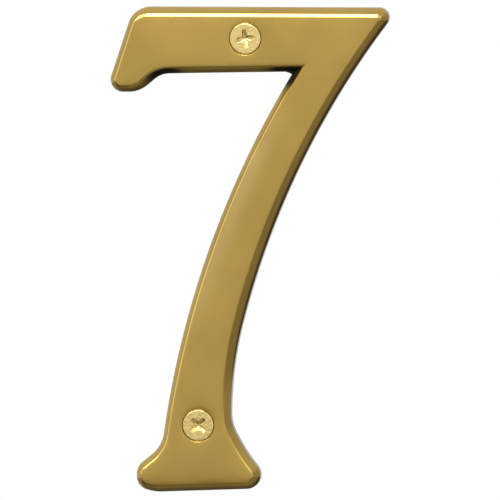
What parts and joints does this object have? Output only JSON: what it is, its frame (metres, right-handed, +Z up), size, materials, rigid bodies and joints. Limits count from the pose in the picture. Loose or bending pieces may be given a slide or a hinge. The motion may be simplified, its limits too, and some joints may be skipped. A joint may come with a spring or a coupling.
{
  "type": "letterbox number",
  "caption": "Solid brass figure seven with a flat face, bevelled edges and a flat back, fixed by countersunk cross-recess wood screws.",
  "frame": {"origin": "the point of the flat back, on the wall plane, half way up the figure and within its leg", "axes": "+Z up the figure, +X to the right as it is read, +Y into the wall, so the face looks towards -Y"},
  "size_m": [0.0584, 0.0254, 0.1015],
  "materials": {
    "figure_brass": "satin, with softly buffed edges",
    "screw_brass": "bright plated"
  },
  "bodies": {
    "root": {"figure_seven": "figure_brass", "upper_screw": "screw_brass", "lower_screw": "screw_brass"}
  },
  "joints": []
}
